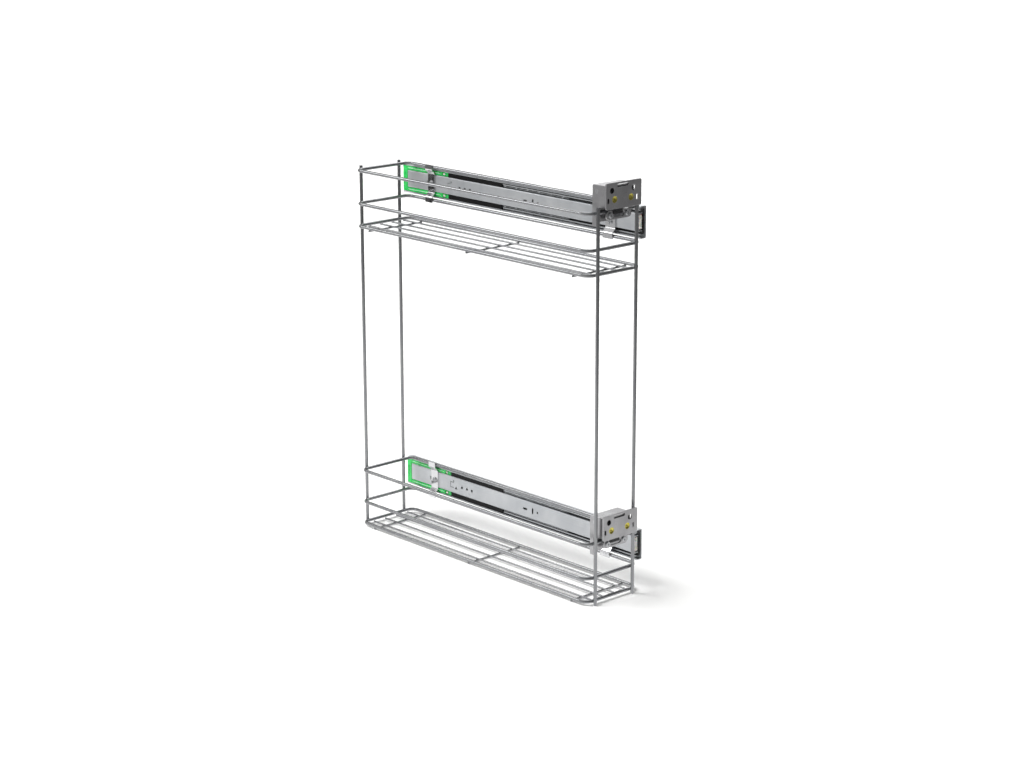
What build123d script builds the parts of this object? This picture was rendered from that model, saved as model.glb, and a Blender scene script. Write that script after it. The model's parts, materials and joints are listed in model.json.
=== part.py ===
"""Side-mounted pull-out cargo basket: two wire baskets on one frame, two soft-close ball slides, door brackets."""

from math import cos, pi, radians, sin, sqrt
import os

from build123d import *

os.makedirs("parts", exist_ok=True)

# The origin is on the cabinet side panel, behind the middle of the lower slide.
# +X is the way the basket pulls out, -Y points from the panel to the basket, +Z is up. Lengths are in mm.

# Wire frame
basket_length = 490.0
basket_width = 100.0
basket_shift = 10.0
basket_pitch = 464.0
middle_ring_rise = 34.0
top_ring_rise = 84.0
ring_wire = 5.0
ring_corner = 12.0
post_wire = 5.0
post_spread = 73.5
front_post_head = 9.0
rear_post_head = 5.0
post_foot = 5.5
short_post_foot = 2.0
grid_wire = 2.8
grid_pitch = 22.4
grid_count = 4
grid_length = 476.0
cross_pitch = 216.0
cross_count = 3
cross_overhang = 1.5
wire_end_break = 0.35
weld_sink = 0.02

# Ball slides
slide_length = 500.0
slide_height = 45.5
slide_depth = 12.5
cabinet_sheet = 1.3
cabinet_lip = 3.15
cabinet_inset = 0.4
lip_bend = 3.0
member_bend = 1.8
middle_sheet = 1.4
middle_rise = 1.0
middle_arm = 8.1
drawer_sheet = 1.3
drawer_arm = 7.8
front_setback = 3.0
drawer_rear_space = 11.0
ball_play = 0.05
groove_depth = 0.4
outer_ball = 4.4
outer_ball_depth = 5.6
inner_ball = 4.0
inner_ball_depth = 7.5
cage_sheet = 0.5
cage_bend = 0.9
cage_lap = 2.5
pocket_play = 0.1
outer_cage_setback = 230.0
outer_cage_length = 140.0
outer_cage_balls = 7
inner_cage_setback = 138.0
inner_cage_length = 220.0
inner_cage_balls = 9
strip_length = 118.0
strip_thickness = 1.2
slip = 0.3

# Screw holes and punched marks in the slides
screw_front_setback = 37.0
screw_pitch = 128.0
screw_count = 3
screw_hole = 4.6
web_hole = 4.2
web_hole_pitch = 11.3
rear_web_holes_setback = 140.5
front_web_holes_setback = 213.0
web_slot_width = 3.2
web_slot_length = 9.0
web_slot_offset = 16.4
web_round_offset = 10.4
key_hole = 3.2
key_hole_drop = 4.0
key_hole_offset = 24.9
pilot_hole = 2.6
pilot_hole_rise = 6.5
pilot_hole_offset = 30.5
tab_width = 8.0
tab_slit = 0.8
tab_offset = 33.9

# Soft-close unit at the rear of each slide
housing_length = 102.0
housing_floor = 2.6
housing_upright = 9.5
housing_step = 2.9
housing_groove = 0.5
housing_inset = 0.2
housing_gap = 1.0
nose_length = 12.0
nose_depth = 1.5
groove_width = 1.6
boss_diameter = 4.0
boss_pitch = 6.7
catch_stroke = 36.0
catch_setback = 45.0
catch_length = 20.0
catch_thickness = 2.0
catch_half_width = 9.0
catch_spine = 5.4
catch_lug = 3.0
prong = 2.0
prong_play = 1.0
prong_setback = 9.5
tongue_width = 4.8
tongue_depth = 2.3
unit_offset = 6.0
damper_outside = 6.0
damper_bore = 4.4
damper_wall = 2.0
damper_length = 46.0
piston_length = 2.0
piston_space = 4.0
rod_diameter = 2.0
spring_outside = 5.0
spring_wire = 0.7
spring_turns = 16
spring_end = 0.7
spring_lead = 1.4
samples_per_turn = 40

# Straps that carry the wire frame on the slides
ring_gap = 0.7
strap_sheet = 1.5
strap_bend = 3.0
strap_flat = 30.0
strap_step = 42.0
strap_overhang = 1.0
rear_strap_setback = 67.0
rear_strap_width = 15.0
front_strap_setback = 55.0
front_strap_width = 19.0
strap_screw = 4.0
strap_screw_head = 7.0
head_height = 2.2
head_edge = 0.7
screw_tip = 1.0
cross_slot = 0.9
cross_slot_depth = 1.0
cross_length = 3.6
front_screw_spread = 12.0
hole_play = 0.1

# Door brackets
box_setback = 12.0
box_front_gap = 0.3
box_width = 52.0
box_height = 30.0
box_rise = 8.0
box_shift = 5.0
box_sheet = 2.0
box_bend = 2.5
jaw_bend = 1.0
wall_lap = 1.0
leg_width = 7.0
leg_drop = 27.0
jaw_drop = 19.0
clamp_length = 48.0
clamp_height = 12.5
clamp_sheet = 2.5
clamp_shift = 2.5
clamp_window_length = 22.0
clamp_window_height = 7.0
clamp_screw_spread = 32.0
clamp_screw_head = 8.0
nut_width = 7.0
nut_height = 2.5
latch_length = 18.0
latch_height = 5.0
latch_sheet = 1.0
latch_shift = 2.75
plate_reach = 17.0
plate_width = 67.0
plate_height = 36.0
plate_rise = 6.0
plate_sheet = 2.0
plate_corner = 2.5
plate_shift = 0.5
feature_shift = 2.3
door_hole = 8.0
door_hole_pitch = 41.0
door_hole_drop = 10.6
plate_slot_length = 22.0
plate_slot_height = 4.5
plate_slot_drop = 4.7
corner_slot_width = 4.0
corner_slot_height = 7.0
corner_slot_spread = 54.7
corner_slot_rise = 12.0
corner_slot_radius = 1.0
adjust_travel = 2.0
cam_throw = 2.6
cam_angle = 50.0
cam_pin = 3.0
cam_pin_play = 0.2
cam_shank = 4.0
cam_disc = 7.0
cam_disc_height = 1.3
cam_head = 9.5
cam_head_height = 1.3
cam_cup_depth = 0.9
head_recess = 0.1
cam_spread = 31.0
cam_rise = 13.0
journal_play = 0.05
block_width = 43.0
block_floor_gap = 2.0
block_edge = 0.5
disc_space = 2.0
pin_slot_depth = 11.0
hole_pocket_depth = 5.7
hole_pocket_margin = 4.0
guide_rod = 5.0
guide_setback = 8.0
guide_drop = 9.0
tongue_slot_depth = 11.7
tongue_sheet = 2.0
tongue_height = 16.0

# Places in the wire frame
half_height = slide_height / 2
ring_far_y = -(slide_depth + ring_gap + ring_wire / 2)
basket_y = ring_far_y - basket_width / 2
rail_to_ring = (top_ring_rise - middle_ring_rise) / 2
base_z = -(top_ring_rise + middle_ring_rise) / 2
rear_wire_x = basket_shift - basket_length / 2
front_wire_x = basket_shift + basket_length / 2
post_reach = (ring_wire + post_wire) / 2 - weld_sink
levels = (("lower", 0.0), ("upper", basket_pitch))

# Places in a slide: each ball lies in a groove in the sheet outside it and in one in the sheet inside it
slide_rear = -slide_length / 2
slide_front = slide_length / 2
member_front = slide_front - front_setback
rear_strap_x = slide_rear + rear_strap_setback
front_strap_x = slide_front - front_strap_setback
rear_web_holes_x = slide_rear + rear_web_holes_setback
front_web_holes_x = slide_front - front_web_holes_setback
outer_cage_rear = slide_rear + outer_cage_setback
inner_cage_rear = slide_rear + inner_cage_setback
outer_ball_z = half_height - cabinet_sheet + groove_depth - outer_ball / 2 - ball_play
middle_outside = outer_ball_z - outer_ball / 2 - ball_play + groove_depth
middle_inside = middle_outside - middle_sheet
inner_ball_z = middle_inside + groove_depth - inner_ball / 2 - ball_play
drawer_outside = inner_ball_z - inner_ball / 2 - ball_play + groove_depth
lip_face = -(slide_depth - cabinet_inset)
lip_edge = half_height - cabinet_lip
middle_back = -(cabinet_sheet + middle_rise)
middle_front = middle_back - middle_arm
drawer_arm_end = -(slide_depth - drawer_arm)
drawer_web_back = -(slide_depth - drawer_sheet)
drawer_rear = slide_rear + drawer_rear_space
housing_front = slide_rear + housing_length
middle_rear = housing_front + housing_gap
floor_face = -(cabinet_sheet + housing_floor)
upright_front = slide_rear + housing_upright
catch_rear = slide_rear + catch_setback
catch_front = catch_rear + catch_length
lug_rear = catch_front - catch_lug
catch_face = floor_face - journal_play
catch_top = drawer_web_back + tongue_depth + slip
catch_gap_x = catch_rear + prong_setback

# Places in a door bracket, with heights counted from the middle of the slide
ring_front_side = front_wire_x + ring_wire / 2
ring_rear_side = front_wire_x - ring_wire / 2
box_rear = front_wire_x - box_setback
plate_front = front_wire_x + plate_reach
plate_back = plate_front - plate_sheet
box_front = plate_back - box_front_gap
box_y = basket_y - box_shift
box_bottom = rail_to_ring + box_rise
box_top = box_bottom + box_height
plate_y = basket_y - plate_shift
plate_bottom = rail_to_ring + plate_rise
plate_top = plate_bottom + plate_height
feature_y = basket_y - feature_shift
cam_z = plate_bottom + cam_rise
door_hole_z = plate_top - door_hole_drop
clamp_y = basket_y + clamp_shift
clamp_z = rail_to_ring - ring_wire / 2 - hole_play - strap_screw / 2
block_bottom = box_bottom + block_floor_gap
block_top = box_top - box_sheet - slip
block_rear = box_rear + box_sheet + disc_space
guide_x = box_rear + guide_setback
guide_z = box_top - guide_drop
height_cam_y = feature_y - cam_spread / 2
side_cam_y = feature_y + cam_spread / 2
pin_low = cam_throw * cos(radians(cam_angle)) - cam_pin / 2 - cam_pin_play
pin_high = cam_throw + cam_pin / 2 + cam_pin_play
head_rear = plate_front - head_recess - cam_head_height


def across(x, z):
    """A drawing plane that faces +X: sketch x runs along +Y and sketch y along +Z."""
    return Plane(origin=(x, 0, z), x_dir=(0, 1, 0), z_dir=(1, 0, 0))


def facing(y, z):
    """A drawing plane that faces -Y, towards the basket: sketch x runs along +X and sketch y along +Z."""
    return Plane(origin=(0, y, z), x_dir=(1, 0, 0), z_dir=(0, -1, 0))


def save(piece, name):
    """Names a finished piece and writes its file."""
    piece.part.label = name
    export_step(piece.part, f"parts/{name}.step")


def sheet_outline(corners, radii, sheet, side):
    """The edge-on outline of a bent sheet whose one surface follows the corners."""
    with BuildLine() as outline:
        FilletPolyline(*corners, radius=radii)
        offset(amount=sheet, side=side)
    make_face(outline.line)


def band(low, high, bottom, top):
    """A rectangle between two heights, from low to high along the sketch's x."""
    with Locations(((low + high) / 2, (bottom + top) / 2)):
        Rectangle(abs(high - low), abs(top - bottom))


# Wire frame

def wire_ring(name, z):
    """A closed level ring of round wire with rounded corners."""
    low_y = basket_y - basket_width / 2
    high_y = basket_y + basket_width / 2
    corners = (
        (rear_wire_x, low_y, z),
        (front_wire_x, low_y, z),
        (front_wire_x, high_y, z),
        (rear_wire_x, high_y, z),
    )
    with BuildPart() as ring:
        with BuildLine() as path:
            FilletPolyline(*corners, radius=ring_corner, close=True)
        with BuildSketch(Plane(origin=path.line @ 0, z_dir=path.line % 0)):
            Circle(ring_wire / 2)
        sweep(path=path.line)
    save(ring, name)


def straight_wires(name, starts, direction, diameter, length):
    """Straight round wires that lie side by side, one solid each, with their ends broken."""
    with BuildPart() as wires:
        for start in starts:
            with BuildSketch(Plane(origin=start, z_dir=direction)):
                Circle(diameter / 2)
            extrude(amount=length)
        chamfer(wires.edges().filter_by(GeomType.CIRCLE), length=wire_end_break)
    save(wires, name)


def wire_frame():
    """Four posts, three rings for each basket, and the grid under each base ring."""
    top_z = base_z + basket_pitch + top_ring_rise
    post_rows = (
        ("rear", rear_wire_x - post_reach, rear_post_head, post_foot, short_post_foot),
        ("front", front_wire_x + post_reach, front_post_head, post_foot, post_foot),
    )
    for end, x, head, open_foot, slide_foot in post_rows:
        for side, y, foot in (
            ("open_side", basket_y - post_spread / 2, open_foot),
            ("slide_side", basket_y + post_spread / 2, slide_foot),
        ):
            start = (x, y, base_z - foot)
            straight_wires(f"{end}_post_{side}", [start], (0, 0, 1), post_wire, top_z + head - base_z + foot)
    for level, lift in levels:
        z = base_z + lift
        wire_ring(f"{level}_base_ring", z)
        wire_ring(f"{level}_middle_ring", z + middle_ring_rise)
        wire_ring(f"{level}_top_ring", z + top_ring_rise)
        cross_z = z - (ring_wire + grid_wire) / 2 + weld_sink
        grid_z = cross_z + grid_wire - weld_sink
        grid_starts = [
            (basket_shift - grid_length / 2, basket_y + (i - (grid_count - 1) / 2) * grid_pitch, grid_z)
            for i in range(grid_count)
        ]
        straight_wires(f"{level}_grid_wires", grid_starts, (1, 0, 0), grid_wire, grid_length)
        cross_starts = [
            (
                basket_shift + (i - (cross_count - 1) / 2) * cross_pitch,
                basket_y - basket_width / 2 - cross_overhang,
                cross_z,
            )
            for i in range(cross_count)
        ]
        cross_length = basket_width + 2 * cross_overhang
        straight_wires(f"{level}_cross_wires", cross_starts, (0, 1, 0), grid_wire, cross_length)


# Slide members

def cabinet_member(level, z):
    """The fixed member: a channel with lips, screwed to the cabinet side panel."""
    corners = (
        (lip_face, lip_edge),
        (lip_face, half_height),
        (0, half_height),
        (0, -half_height),
        (lip_face, -half_height),
        (lip_face, -lip_edge),
    )
    with BuildPart() as member:
        with BuildSketch(across(slide_rear, z)):
            sheet_outline(corners, (lip_bend, member_bend, member_bend, lip_bend), cabinet_sheet, Side.RIGHT)
            with Locations((-outer_ball_depth, outer_ball_z), (-outer_ball_depth, -outer_ball_z)):
                Circle(outer_ball / 2 + ball_play, mode=Mode.SUBTRACT)
        extrude(amount=slide_length)
        with BuildSketch(facing(0, z)):
            with Locations(*[(slide_front - screw_front_setback - i * screw_pitch, 0) for i in range(screw_count)]):
                Circle(screw_hole / 2)
        extrude(amount=cabinet_sheet, mode=Mode.SUBTRACT)
    save(member, f"{level}_cabinet_member")


def middle_member(level, z):
    """The telescoping member between the two ball rows, travelling half as far as the basket."""
    corners = (
        (middle_front, middle_outside),
        (middle_back, middle_outside),
        (middle_back, -middle_outside),
        (middle_front, -middle_outside),
    )
    with BuildPart() as member:
        with BuildSketch(across(middle_rear, z)):
            sheet_outline(corners, member_bend, middle_sheet, Side.RIGHT)
            with Locations((-outer_ball_depth, outer_ball_z), (-outer_ball_depth, -outer_ball_z)):
                Circle(outer_ball / 2 + ball_play, mode=Mode.SUBTRACT)
            with Locations((-inner_ball_depth, inner_ball_z), (-inner_ball_depth, -inner_ball_z)):
                Circle(inner_ball / 2 + ball_play, mode=Mode.SUBTRACT)
        extrude(amount=member_front - middle_rear)
    save(member, f"{level}_middle_member")


def drawer_member(level, z):
    """The member that carries the basket, with its punched holes and the tongue that meets the catch."""
    corners = (
        (drawer_arm_end, drawer_outside),
        (-slide_depth, drawer_outside),
        (-slide_depth, -drawer_outside),
        (drawer_arm_end, -drawer_outside),
    )
    with BuildPart() as member:
        with BuildSketch(across(drawer_rear, z)):
            sheet_outline(corners, member_bend, drawer_sheet, Side.LEFT)
            with Locations((-inner_ball_depth, inner_ball_z), (-inner_ball_depth, -inner_ball_z)):
                Circle(inner_ball / 2 + ball_play, mode=Mode.SUBTRACT)
        extrude(amount=member_front - drawer_rear)
        with BuildSketch(facing(drawer_web_back, z)):
            with Locations((rear_web_holes_x, 0)):
                with GridLocations(web_hole_pitch, 0, 3, 1):
                    Circle(web_hole / 2)
            with Locations((rear_web_holes_x - key_hole_offset, -key_hole_drop)):
                RegularPolygon(key_hole, 3, rotation=90)
            with Locations((rear_web_holes_x - pilot_hole_offset, pilot_hole_rise)):
                Circle(pilot_hole / 2)
            with Locations((front_web_holes_x, 0)):
                SlotOverall(web_slot_length, web_slot_width, rotation=90)
            with Locations((front_web_holes_x - web_slot_offset, 0)):
                SlotOverall(web_slot_length, web_slot_width)
            with Locations((front_web_holes_x + web_round_offset, 0)):
                Circle(web_slot_width / 2)
            with Locations((rear_strap_x, 0)):
                Circle(strap_screw / 2)
            with Locations((front_strap_x, 0)):
                with GridLocations(0, front_screw_spread, 1, 2):
                    Circle(strap_screw / 2)
            with Locations((rear_web_holes_x - tab_offset, -tab_width / 2)):
                Rectangle(tab_width, tab_slit)
            with Locations((rear_web_holes_x - tab_offset, tab_width / 2)):
                Rectangle(tab_width, tab_slit)
            with Locations((rear_web_holes_x - tab_offset - tab_width / 2, 0)):
                Rectangle(tab_slit, tab_width)
            with Locations((catch_gap_x + drawer_sheet / 2 + tongue_depth / 2, 0)):
                Rectangle(tongue_depth, tongue_width)
        extrude(amount=drawer_sheet, mode=Mode.SUBTRACT)
        with BuildSketch(facing(drawer_web_back, z)):
            with Locations((catch_gap_x, 0)):
                Rectangle(drawer_sheet, tongue_width)
        extrude(amount=-tongue_depth)
    save(member, f"{level}_drawer_member")


def ball_cage(name, z, rear, length, back, ball_z, ball_depth, ball, count):
    """A thin channel with a round pocket for every ball of the row above and the row below."""
    edge = ball_z + cage_sheet / 2
    reach = -(ball_depth + cage_lap)
    corners = ((reach, edge), (back, edge), (back, -edge), (reach, -edge))
    places = ball_places(z, rear, length, ball_z, ball_depth, count)
    with BuildPart() as cage:
        with BuildSketch(across(rear, z)):
            sheet_outline(corners, cage_bend, cage_sheet, Side.RIGHT)
        extrude(amount=length)
        with Locations(*places):
            Cylinder(ball / 2 + pocket_play, cage_sheet + 2 * slip, mode=Mode.SUBTRACT)
    save(cage, name)


def ball_places(z, rear, length, ball_z, ball_depth, count):
    """The middles of the balls in the upper and the lower row of one cage."""
    pitch = length / count
    return [(rear + (i + 0.5) * pitch, -ball_depth, z + side * ball_z) for side in (1, -1) for i in range(count)]


def ball_rows(name, rear, length, ball_z, ball_depth, ball, count):
    """All the balls of one kind in both slides."""
    with BuildPart() as balls:
        for _, z in levels:
            with Locations(*ball_places(z, rear, length, ball_z, ball_depth, count)):
                Sphere(ball / 2)
    save(balls, name)


def guide_strips(level, z):
    """Two black strips on the edges of the middle member, which fill the gap beside the drawer member."""
    with BuildPart() as strips:
        with BuildSketch(across(middle_rear, z)):
            for side in (1, -1):
                band(
                    middle_front - strip_thickness,
                    middle_front,
                    side * (drawer_outside + slip),
                    side * (lip_edge - slip),
                )
        extrude(amount=strip_length)
    save(strips, f"{level}_guide_strips")


# Soft-close unit

def damper_housing(level, z):
    """The U-shaped plastic housing at the rear of the cabinet member, with an arm in each gap."""
    reach = half_height - cabinet_sheet - slip
    arm_inside = drawer_outside + slip
    arm_outside = lip_edge - slip
    face = lip_face + housing_inset
    step = face + housing_step
    with BuildPart() as housing:
        with BuildSketch(across(slide_rear, z)):
            band(floor_face, -cabinet_sheet, -reach, reach)
            for side in (1, -1):
                band(step, floor_face, side * arm_inside, side * reach)
                band(face, step, side * arm_inside, side * arm_outside)
        extrude(amount=housing_length)
        with BuildSketch(across(slide_rear, z)):
            band(step, -cabinet_sheet, -reach, reach)
            band(face, step, -arm_outside, arm_outside)
        extrude(amount=housing_upright)
        with BuildSketch(facing(face, z)):
            with Locations((slide_rear + housing_length / 2 + housing_upright / 2, 0)):
                with GridLocations(0, arm_inside + arm_outside, 1, 2):
                    Rectangle(housing_length - housing_upright, groove_width)
            with Locations((slide_rear + housing_upright / 2, 0)):
                with GridLocations(0, boss_pitch, 1, 3):
                    Circle(boss_diameter / 2)
        extrude(amount=-housing_groove, mode=Mode.SUBTRACT)
        with BuildSketch(across(housing_front, z)):
            for side in (1, -1):
                band(face, face + nose_depth, side * arm_inside, side * arm_outside)
        extrude(amount=-nose_length, mode=Mode.SUBTRACT)
        long_edges = housing.edges().filter_by(Axis.X).group_by(Axis.Y)
        chamfer(long_edges[0] + long_edges[-1], length=slip)
    save(housing, f"{level}_damper_housing")


def catch(level, z):
    """The slider that takes the drawer member's tongue between its prongs on the last stretch."""
    half_spine = catch_spine / 2
    span = drawer_sheet + 2 * (prong_play + prong)
    with BuildPart() as slider:
        with BuildSketch(across(catch_rear, z)):
            band(catch_face - catch_thickness, catch_face, -half_spine, half_spine)
        extrude(amount=catch_length)
        with BuildSketch(across(lug_rear, z)):
            band(catch_top, catch_face, -catch_half_width, catch_half_width)
        extrude(amount=catch_lug)
        for x in (catch_gap_x - span / 2, catch_gap_x + span / 2 - prong):
            with BuildSketch(across(x, z)):
                band(catch_top, catch_face, -half_spine, half_spine)
            extrude(amount=prong)
    save(slider, f"{level}_catch")


def damper(level, z):
    """A hydraulic cylinder that rests on the housing, and the rod and piston that the catch pulls."""
    axis_y = floor_face - damper_outside / 2
    axis_z = z + unit_offset
    with BuildPart() as cylinder:
        with BuildSketch(Plane(origin=(upright_front, axis_y, axis_z), z_dir=(1, 0, 0))):
            Circle(damper_outside / 2)
        extrude(amount=damper_length)
        with BuildSketch(Plane(origin=(upright_front + damper_wall, axis_y, axis_z), z_dir=(1, 0, 0))):
            Circle(damper_bore / 2)
        extrude(amount=damper_length - 2 * damper_wall, mode=Mode.SUBTRACT)
        with BuildSketch(Plane(origin=(upright_front + damper_length, axis_y, axis_z), z_dir=(1, 0, 0))):
            Circle(rod_diameter / 2 + journal_play)
        extrude(amount=-damper_wall, mode=Mode.SUBTRACT)
    save(cylinder, f"{level}_damper_cylinder")

    piston_rear = upright_front + piston_space
    with BuildPart() as rod:
        with BuildSketch(Plane(origin=(piston_rear, axis_y, axis_z), z_dir=(1, 0, 0))):
            Circle(damper_bore / 2 - journal_play)
        extrude(amount=piston_length)
        with BuildSketch(Plane(origin=(piston_rear, axis_y, axis_z), z_dir=(1, 0, 0))):
            Circle(rod_diameter / 2)
        extrude(amount=lug_rear - piston_rear)
    save(rod, f"{level}_damper_rod")


def joined_arcs(start, start_way, end, end_way):
    """Two arcs that leave start along start_way, meet smoothly and reach end along end_way."""
    chord = end - start
    ways = start_way + end_way
    along = chord.dot(ways)
    spread = 2 * (1 - start_way.dot(end_way))
    handle = (sqrt(along * along + spread * chord.dot(chord)) - along) / spread
    middle = (start + start_way * handle + end - end_way * handle) * 0.5
    first = TangentArc(start, middle, tangent=start_way)
    TangentArc(middle, end, tangent=first % 1)


def closing_spring(level, z):
    """The tension spring between the housing and the catch: one wire, straight at both ends."""
    radius = (spring_outside - spring_wire) / 2
    axis_y = floor_face - damper_outside / 2
    axis_z = z - unit_offset
    coil_rear = upright_front + spring_end + spring_lead
    coil_length = lug_rear - upright_front - 2 * (spring_end + spring_lead)
    pitch = coil_length / spring_turns
    steps = 4 * spring_turns
    climb = pitch / (2 * pi)

    def on_coil(step):
        angle = step * pi / 2
        return Vector(coil_rear + pitch * step / 4, axis_y + radius * cos(angle), axis_z + radius * sin(angle))

    def along_coil(step):
        angle = step * pi / 2
        return Vector(climb, -radius * sin(angle), radius * cos(angle)).normalized()

    ahead = Vector(1, 0, 0)
    quarter_back = Vector(upright_front, axis_y + radius * cos(-pi / 2), axis_z + radius * sin(-pi / 2))
    quarter_on = Vector(lug_rear, axis_y + radius * cos(pi / 2), axis_z + radius * sin(pi / 2))
    with BuildPart() as spring:
        with BuildLine() as path:
            Line(quarter_back, quarter_back + ahead * spring_end)
            joined_arcs(quarter_back + ahead * spring_end, ahead, on_coil(0), along_coil(0))
            for step in range(steps):
                joined_arcs(on_coil(step), along_coil(step), on_coil(step + 1), along_coil(step + 1))
            joined_arcs(on_coil(steps), along_coil(steps), quarter_on - ahead * spring_end, ahead)
            Line(quarter_on - ahead * spring_end, quarter_on)
        with BuildSketch(Plane(origin=path.line @ 0, z_dir=(1, 0, 0))):
            Circle(spring_wire / 2)
        sweep(path=path.line)
    save(spring, f"{level}_closing_spring")
    wire = path.wires()[0]
    points = [wire @ (i / (samples_per_turn * spring_turns)) for i in range(samples_per_turn * spring_turns + 1)]
    least = min(
        (points[i] - points[j]).length
        for i in range(len(points))
        for j in range(i + samples_per_turn // 2, min(i + 2 * samples_per_turn, len(points)))
    )
    print(f"{level} spring: least gap to itself {least - spring_wire:.2f} mm")


# Straps on the slides

def strap(name, z, x, width, screw_heights):
    """A bent strip welded to two ring wires and screwed to the drawer member between them."""
    wire_side = ring_far_y - ring_wire / 2 + weld_sink
    end = rail_to_ring + ring_wire / 2 + strap_overhang
    flat = strap_flat / 2
    step = strap_step / 2
    corners = (
        (wire_side, end),
        (wire_side, step),
        (-slide_depth, flat),
        (-slide_depth, -flat),
        (wire_side, -step),
        (wire_side, -end),
    )
    with BuildPart() as strip:
        with BuildSketch(across(x - width / 2, z)):
            sheet_outline(corners, strap_bend, strap_sheet, Side.RIGHT)
        extrude(amount=width)
        with BuildSketch(facing(-slide_depth, z)):
            with Locations(*[(x, height) for height in screw_heights]):
                Circle(strap_screw / 2 + hole_play)
        extrude(amount=strap_sheet, mode=Mode.SUBTRACT)
    save(strip, name)


def strap_screws(places):
    """Pan-head screws with a cross recess, driven through the straps into the drawer members."""
    seat = -(slide_depth + strap_sheet)
    with BuildPart() as screws:
        for x, z in places:
            with BuildSketch(Plane(origin=(x, seat, z), z_dir=(0, -1, 0))):
                Circle(strap_screw_head / 2)
            extrude(amount=head_height)
        chamfer(screws.edges().filter_by(GeomType.CIRCLE).group_by(Axis.Y)[0], length=head_edge)
        for x, z in places:
            with BuildSketch(Plane(origin=(x, seat, z), z_dir=(0, -1, 0))):
                Circle(strap_screw / 2)
            extrude(amount=-(strap_sheet + drawer_sheet + screw_tip))
            with BuildSketch(Plane(origin=(x, seat - head_height, z), x_dir=(1, 0, 0), z_dir=(0, -1, 0))):
                Rectangle(cross_length, cross_slot)
                Rectangle(cross_slot, cross_length)
            extrude(amount=-cross_slot_depth, mode=Mode.SUBTRACT)
    save(screws, "strap_screws")


# Door brackets

def bracket_box(level, z):
    """The folded box behind the door plate, with a jaw behind the ring's front wire and one long leg."""
    left = box_y - box_width / 2
    right = box_y + box_width / 2
    jaw_rear = ring_rear_side - box_sheet
    flange = box_bottom - box_sheet
    corners = (
        (box_front, box_top),
        (box_rear, box_top),
        (box_rear, flange),
        (jaw_rear, flange),
        (jaw_rear, flange - jaw_drop),
    )
    with BuildPart() as box:
        with BuildSketch(facing(right, z)):
            sheet_outline(corners, (box_bend, box_bend, jaw_bend), box_sheet, Side.LEFT)
        extrude(amount=box_width)
        for side_y in (right, left + box_sheet):
            with BuildSketch(facing(side_y, z)):
                band(box_rear + wall_lap, box_front, box_bottom, box_top - wall_lap)
            extrude(amount=box_sheet)
        with BuildSketch(facing(left + box_sheet, z)):
            band(box_rear, box_rear + leg_width, box_bottom - leg_drop, box_bottom)
        extrude(amount=box_sheet)
        with BuildSketch(across(jaw_rear, z)):
            with Locations((clamp_y, clamp_z)):
                with GridLocations(clamp_screw_spread, 0, 2, 1):
                    Circle(strap_screw / 2 + hole_play)
        extrude(amount=box_sheet, mode=Mode.SUBTRACT)
        with BuildSketch(across(box_rear, z)):
            with Locations((side_cam_y, cam_z + (pin_low + pin_high) / 2)):
                Rectangle(cam_pin + 2 * cam_pin_play, pin_high - pin_low + 2 * adjust_travel)
        extrude(amount=box_sheet, mode=Mode.SUBTRACT)
        with BuildSketch(facing(right, z)):
            with Locations((guide_x, guide_z)):
                Circle(guide_rod / 2)
        extrude(amount=box_width, mode=Mode.SUBTRACT)
    save(box, f"{level}_bracket_box")


def clamp_plate(level, z):
    """The round-ended plate in front of the ring wire, pulled against the jaw by two screws."""
    with BuildPart() as plate:
        with BuildSketch(across(ring_front_side, z)):
            with Locations((clamp_y, clamp_z)):
                SlotOverall(clamp_length, clamp_height)
                SlotOverall(clamp_window_length, clamp_window_height, mode=Mode.SUBTRACT)
                with GridLocations(clamp_screw_spread, 0, 2, 1):
                    Circle(strap_screw / 2 + hole_play, mode=Mode.SUBTRACT)
        extrude(amount=clamp_sheet)
    save(plate, f"{level}_clamp_plate")


def clamp_latches():
    """A small stop plate on each clamp plate, which covers part of its window."""
    with BuildPart() as latches:
        for _, z in levels:
            with BuildSketch(across(ring_front_side + clamp_sheet, z)):
                latch_z = clamp_z + clamp_height / 2 - latch_height / 2 - slip
                with Locations((clamp_y - latch_shift, latch_z)):
                    Rectangle(latch_length, latch_height)
            extrude(amount=latch_sheet)
    save(latches, "clamp_latches")


def clamp_places():
    """The axes of the clamp screws: across and height, for both levels."""
    half = clamp_screw_spread / 2
    return [(clamp_y + side * half, clamp_z + z) for _, z in levels for side in (-1, 1)]


def clamp_screws():
    """Screws through the clamp plates and the jaws, with a round head and a cross recess."""
    seat = ring_front_side + clamp_sheet
    nut_rear = ring_rear_side - box_sheet - nut_height
    with BuildPart() as screws:
        for y, z in clamp_places():
            with BuildSketch(Plane(origin=(seat, y, z), z_dir=(1, 0, 0))):
                Circle(clamp_screw_head / 2)
            extrude(amount=head_height)
        chamfer(screws.edges().filter_by(GeomType.CIRCLE).group_by(Axis.X)[-1], length=head_edge)
        for y, z in clamp_places():
            with BuildSketch(Plane(origin=(seat, y, z), z_dir=(1, 0, 0))):
                Circle(strap_screw / 2)
            extrude(amount=nut_rear - screw_tip - seat)
            with BuildSketch(Plane(origin=(seat + head_height, y, z), x_dir=(0, 1, 0), z_dir=(1, 0, 0))):
                Rectangle(cross_length, cross_slot)
                Rectangle(cross_slot, cross_length)
            extrude(amount=-cross_slot_depth, mode=Mode.SUBTRACT)
    save(screws, "clamp_screws")


def clamp_nuts():
    """Hexagon nuts behind the jaws."""
    with BuildPart() as nuts:
        for y, z in clamp_places():
            with BuildSketch(Plane(origin=(ring_rear_side - box_sheet, y, z), z_dir=(1, 0, 0))):
                RegularPolygon(nut_width / 2, 6, major_radius=False)
                Circle(strap_screw / 2, mode=Mode.SUBTRACT)
            extrude(amount=-nut_height)
    save(nuts, "clamp_nuts")


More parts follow.
